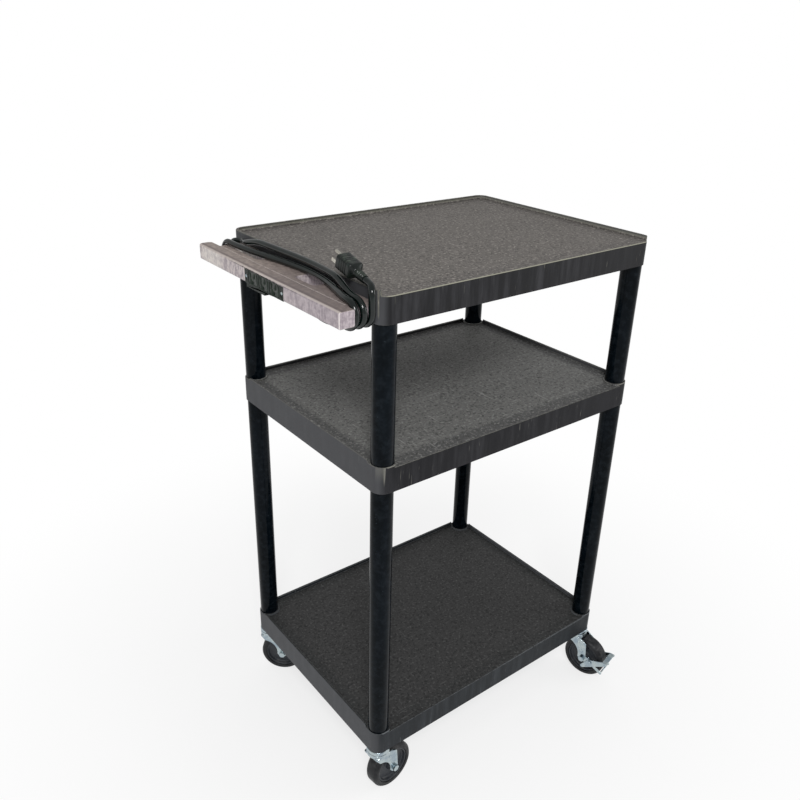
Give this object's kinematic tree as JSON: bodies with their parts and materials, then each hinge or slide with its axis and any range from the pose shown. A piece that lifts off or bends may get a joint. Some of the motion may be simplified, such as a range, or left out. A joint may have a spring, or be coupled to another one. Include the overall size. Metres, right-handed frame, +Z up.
{
  "type": "projector cart",
  "caption": "Rolling equipment cart with moulded tray shelves on round legs, swivel casters, and a push handle with outlets and a wound power cord.",
  "frame": {"origin": "on the floor, under the middle of the cart's box without the cord and plug", "axes": "+X from the handle end to the far end, +Y from the open front edge to the back lip, +Z up"},
  "size_m": [0.6984, 0.5978, 1.0552],
  "materials": {
    "top_tray_plastic": "pebbled, worn",
    "middle_tray_plastic": "pebbled, worn",
    "bottom_tray_plastic": "pebbled, scuffed",
    "leg_enamel": "gloss",
    "handle_plastic": "scuffed",
    "zinc_plate": "bright zinc",
    "ball_steel": "polished",
    "contact_brass": "plain",
    "blade_nickel": "polished",
    "outlet_plastic": "semi gloss",
    "receptacle_plastic": "semi gloss",
    "plug_vinyl": "satin",
    "cord_jacket": "glossy vinyl",
    "insert_plastic": "plain",
    "wheel_core": "plain",
    "tyre_rubber": "dusty"
  },
  "bodies": {
    "cart": {"top_shelf": "top_tray_plastic", "middle_shelf": "middle_tray_plastic", "bottom_shelf": "bottom_tray_plastic", "upper_leg_front_left": "leg_enamel", "upper_leg_front_right": "leg_enamel", "upper_leg_back_left": "leg_enamel", "upper_leg_back_right": "leg_enamel", "lower_leg_front_left": "leg_enamel", "lower_leg_front_right": "leg_enamel", "lower_leg_back_left": "leg_enamel", "lower_leg_back_right": "leg_enamel", "push_handle": "handle_plastic", "handle_bolts": "zinc_plate", "handle_washers": "zinc_plate", "outlet_housing": "outlet_plastic", "outlet_faceplate": "outlet_plastic", "outlet_receptacles": "receptacle_plastic", "outlet_contacts": "contact_brass", "faceplate_screws": "zinc_plate", "strain_relief": "plug_vinyl", "power_cord_lead": "cord_jacket", "power_cord_winding": "cord_jacket", "power_cord_end": "cord_jacket", "plug_body": "plug_vinyl", "plug_blades": "blade_nickel", "caster_inserts": "insert_plastic", "swivel_balls": "ball_steel", "caster_stem_front_left": "zinc_plate", "caster_stem_front_right": "zinc_plate", "caster_stem_back_left": "zinc_plate", "caster_stem_back_right": "zinc_plate"},
    "swivel_front_left": {"fork_front_left": "zinc_plate", "axle_bolt_front_left": "zinc_plate", "axle_sleeve_front_left": "zinc_plate"},
    "wheel_front_left": {"wheel_hub_front_left": "wheel_core", "tyre_front_left": "tyre_rubber"},
    "swivel_front_right": {"fork_front_right": "zinc_plate", "axle_bolt_front_right": "zinc_plate", "axle_sleeve_front_right": "zinc_plate", "brake_rivets_front_right": "zinc_plate"},
    "wheel_front_right": {"wheel_hub_front_right": "wheel_core", "tyre_front_right": "tyre_rubber"},
    "brake_front_right": {"brake_lever_front_right": "zinc_plate"},
    "swivel_back_left": {"fork_back_left": "zinc_plate", "axle_bolt_back_left": "zinc_plate", "axle_sleeve_back_left": "zinc_plate"},
    "wheel_back_left": {"wheel_hub_back_left": "wheel_core", "tyre_back_left": "tyre_rubber"},
    "swivel_back_right": {"fork_back_right": "zinc_plate", "axle_bolt_back_right": "zinc_plate", "axle_sleeve_back_right": "zinc_plate", "brake_rivets_back_right": "zinc_plate"},
    "wheel_back_right": {"wheel_hub_back_right": "wheel_core", "tyre_back_right": "tyre_rubber"},
    "brake_back_right": {"brake_lever_back_right": "zinc_plate"}
  },
  "joints": [
    {"name": "swivel_turn_front_left", "type": "hinge", "parent": "cart", "child": "swivel_front_left", "pos_m": [-0.25919, -0.2075, 0.1], "axis": [0, 0, 1], "continuous": true},
    {"name": "wheel_roll_front_left", "type": "hinge", "parent": "swivel_front_left", "child": "wheel_front_left", "pos_m": [-0.2314, -0.20409, 0.0475], "axis": [-0.1219, 0.9925, 0], "continuous": true},
    {"name": "swivel_turn_front_right", "type": "hinge", "parent": "cart", "child": "swivel_front_right", "pos_m": [0.30881, -0.2075, 0.1], "axis": [0, 0, 1], "continuous": true},
    {"name": "wheel_roll_front_right", "type": "hinge", "parent": "swivel_front_right", "child": "wheel_front_right", "pos_m": [0.31511, -0.23478, 0.0475], "axis": [0.9744, 0.225, 0], "continuous": true},
    {"name": "brake_press_front_right", "type": "hinge", "parent": "swivel_front_right", "child": "brake_front_right", "pos_m": [0.31983, -0.25524, 0.0475], "axis": [0.9744, 0.225, 0], "range_deg": [0, 12]},
    {"name": "swivel_turn_back_left", "type": "hinge", "parent": "cart", "child": "swivel_back_left", "pos_m": [-0.25919, 0.2075, 0.1], "axis": [0, 0, 1], "continuous": true},
    {"name": "wheel_roll_back_left", "type": "hinge", "parent": "swivel_back_left", "child": "wheel_back_left", "pos_m": [-0.23806, 0.18913, 0.0475], "axis": [0.6561, 0.7547, 0], "continuous": true},
    {"name": "swivel_turn_back_right", "type": "hinge", "parent": "cart", "child": "swivel_back_right", "pos_m": [0.30881, 0.2075, 0.1], "axis": [0, 0, 1], "continuous": true},
    {"name": "wheel_roll_back_right", "type": "hinge", "parent": "swivel_back_right", "child": "wheel_back_right", "pos_m": [0.31511, 0.23478, 0.0475], "axis": [-0.9744, 0.225, 0], "continuous": true},
    {"name": "brake_press_back_right", "type": "hinge", "parent": "swivel_back_right", "child": "brake_back_right", "pos_m": [0.31983, 0.25524, 0.0475], "axis": [-0.9744, 0.225, 0], "range_deg": [0, 12]}
  ]
}
